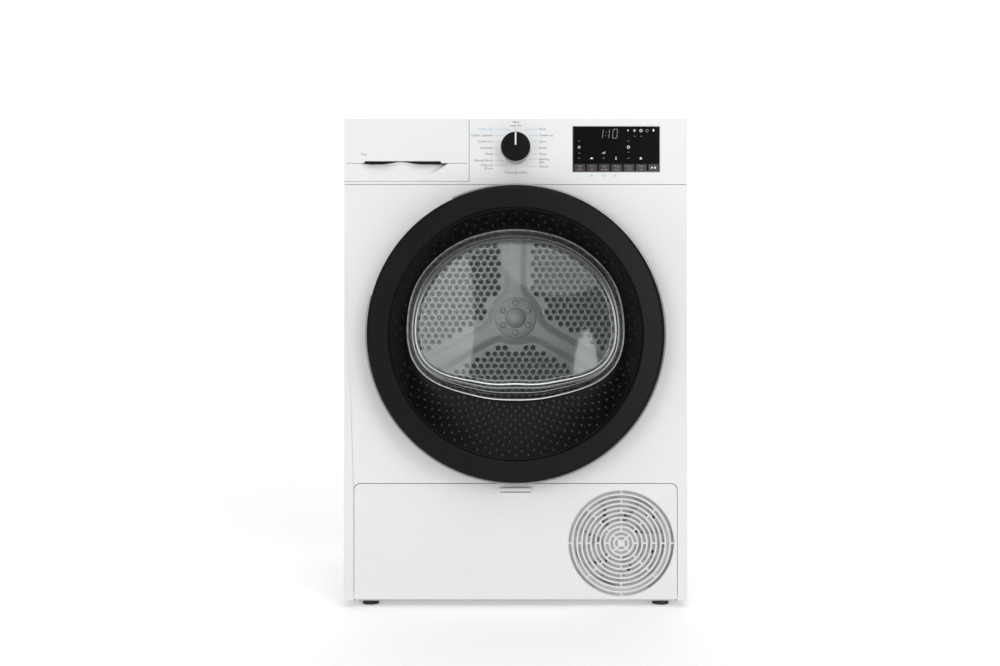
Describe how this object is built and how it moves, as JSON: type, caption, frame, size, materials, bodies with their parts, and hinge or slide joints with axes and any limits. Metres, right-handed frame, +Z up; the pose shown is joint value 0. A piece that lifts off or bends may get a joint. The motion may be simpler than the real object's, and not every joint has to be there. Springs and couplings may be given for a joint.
{
  "type": "clothes dryer",
  "caption": "Free-standing front-loading heat pump clothes dryer with a round black door, glass bowl, rotary selector, touch display, water tank drawer and service flap",
  "frame": {"origin": "centre of the bounding box in plan, on the floor plane under the feet", "axes": "+Z up, -Y towards the front with the door, +X to the right seen from the front"},
  "size_m": [0.597, 0.612, 0.85],
  "materials": {
    "white_paint": "satin",
    "white_plastic": "satin",
    "black_satin": "satin",
    "black_textured": "textured",
    "silver_trim": "satin",
    "glass": "gloss",
    "display_black": "gloss",
    "pcb_green": "satin",
    "grey_plastic": "satin",
    "light_grey_plastic": "satin",
    "grille_grey": "satin",
    "tank_plastic": "translucent look",
    "galvanised": "brushed",
    "stainless": "satin",
    "steel": "machined",
    "aluminium_fins": "matt",
    "copper": "tube",
    "rubber": "matt",
    "seal_grey": "matt",
    "felt": "felt",
    "mesh": "fine mesh",
    "compressor_black": "satin",
    "motor_metal": "satin",
    "lamp": "frosted",
    "base_grey": "satin",
    "foot_black": "satin"
  },
  "bodies": {
    "cabinet": {"side_panel_left": "white_paint", "side_panel_right": "white_paint", "top_panel": "white_plastic", "rear_panel": "galvanised", "rear_duct_cover": "galvanised", "front_panel": "white_paint", "fascia": "white_plastic", "display_glass": "display_black", "control_board": "pcb_green", "tank_housing": "grey_plastic", "base_tray": "base_grey", "feet": "foot_black", "fan_shroud": "grey_plastic", "front_bulkhead": "grey_plastic", "door_seal": "seal_grey", "felt_seals": "felt", "drum_lamp": "lamp", "latch_socket": "grey_plastic", "hinge_bracket": "steel", "rear_bulkhead": "galvanised", "fan_scroll": "grey_plastic", "fan_inlet_duct": "grey_plastic", "motor_body": "motor_metal", "motor_bracket": "galvanised", "drive_belt": "rubber", "heat_exchanger_housing": "grey_plastic", "evaporator": "aluminium_fins", "condenser": "aluminium_fins", "heat_exchanger_cover": "light_grey_plastic", "compressor": "compressor_black", "refrigerant_pipes": "copper", "condensate_pump": "foot_black", "rear_screws": "steel"},
    "door": {"door_ring": "black_satin", "door_rim_band": "silver_trim", "door_funnel": "black_textured", "door_glass_bowl": "glass", "door_back_frame": "grey_plastic", "door_hinge_leaf": "steel"},
    "drum": {"drum_shell": "stainless", "drum_back": "stainless", "drum_lifters": "grey_plastic", "drum_hub_cap": "stainless", "drum_shaft": "steel"},
    "motor_rotor": {"motor_shaft": "steel", "process_fan": "light_grey_plastic"},
    "idler": {"idler_pulley": "grey_plastic"},
    "left_roller": {"roller_left": "grey_plastic"},
    "right_roller": {"roller_right": "grey_plastic"},
    "knob": {"program_knob": "black_satin", "knob_ring": "silver_trim"},
    "tank": {"tank_front": "white_plastic", "tank_body": "tank_plastic"},
    "lint_filter": {"lint_filter_frame": "light_grey_plastic", "lint_filter_mesh": "mesh"},
    "flap": {"service_flap": "white_plastic", "grille": "grille_grey"},
    "exhaust_fan": {"cooling_fan": "light_grey_plastic"},
    "left_lock": {"cover_lock_left": "black_satin"},
    "right_lock": {"cover_lock_right": "black_satin"}
  },
  "joints": [
    {"name": "door_hinge", "type": "hinge", "parent": "cabinet", "child": "door", "pos_m": [0.247, -0.284, 0.475], "axis": [0, 0, 1], "range_deg": [0, 140]},
    {"name": "drum_spin", "type": "hinge", "parent": "cabinet", "child": "drum", "pos_m": [0, 0.015, 0.51], "axis": [0, 1, 0], "continuous": true},
    {"name": "motor_spin", "type": "hinge", "parent": "cabinet", "child": "motor_rotor", "pos_m": [0.222, 0.045, 0.245], "axis": [0, 1, 0], "continuous": true},
    {"name": "idler_spin", "type": "hinge", "parent": "cabinet", "child": "idler", "pos_m": [0.1404, -0.06, 0.2109], "axis": [0, 1, 0], "continuous": true},
    {"name": "left_roller_spin", "type": "hinge", "parent": "cabinet", "child": "left_roller", "pos_m": [-0.1774, -0.185, 0.2566], "axis": [0, 1, 0], "continuous": true},
    {"name": "right_roller_spin", "type": "hinge", "parent": "cabinet", "child": "right_roller", "pos_m": [0.1774, -0.185, 0.2566], "axis": [0, 1, 0], "continuous": true},
    {"name": "selector_turn", "type": "hinge", "parent": "cabinet", "child": "knob", "pos_m": [0, -0.276, 0.7971], "axis": [0, 1, 0], "continuous": true},
    {"name": "tank_slide", "type": "slide", "parent": "cabinet", "child": "tank", "axis": [0, -1, 0], "range_m": [0, 0.42]},
    {"name": "filter_lift", "type": "slide", "parent": "cabinet", "child": "lint_filter", "axis": [0, 0, 1], "range_m": [0, 0.02]},
    {"name": "flap_hinge", "type": "hinge", "parent": "cabinet", "child": "flap", "pos_m": [0, -0.255, 0.021], "axis": [1, 0, 0], "range_deg": [0, 90]},
    {"name": "exhaust_fan_spin", "type": "hinge", "parent": "cabinet", "child": "exhaust_fan", "pos_m": [0.1836, -0.22, 0.1115], "axis": [0, 1, 0], "continuous": true},
    {"name": "left_lock_turn", "type": "hinge", "parent": "cabinet", "child": "left_lock", "pos_m": [-0.255, -0.234, 0.116], "axis": [0, 1, 0], "range_deg": [0, 90]},
    {"name": "right_lock_turn", "type": "hinge", "parent": "cabinet", "child": "right_lock", "pos_m": [-0.045, -0.234, 0.116], "axis": [0, 1, 0], "range_deg": [-90, 0]}
  ],
  "couplings": [
    {"joint": "motor_spin", "follows": "drum_spin", "ratio": 27.796},
    {"joint": "idler_spin", "follows": "drum_spin", "ratio": -14.834},
    {"joint": "left_roller_spin", "follows": "drum_spin", "ratio": -11.807},
    {"joint": "right_roller_spin", "follows": "drum_spin", "ratio": -11.807}
  ]
}
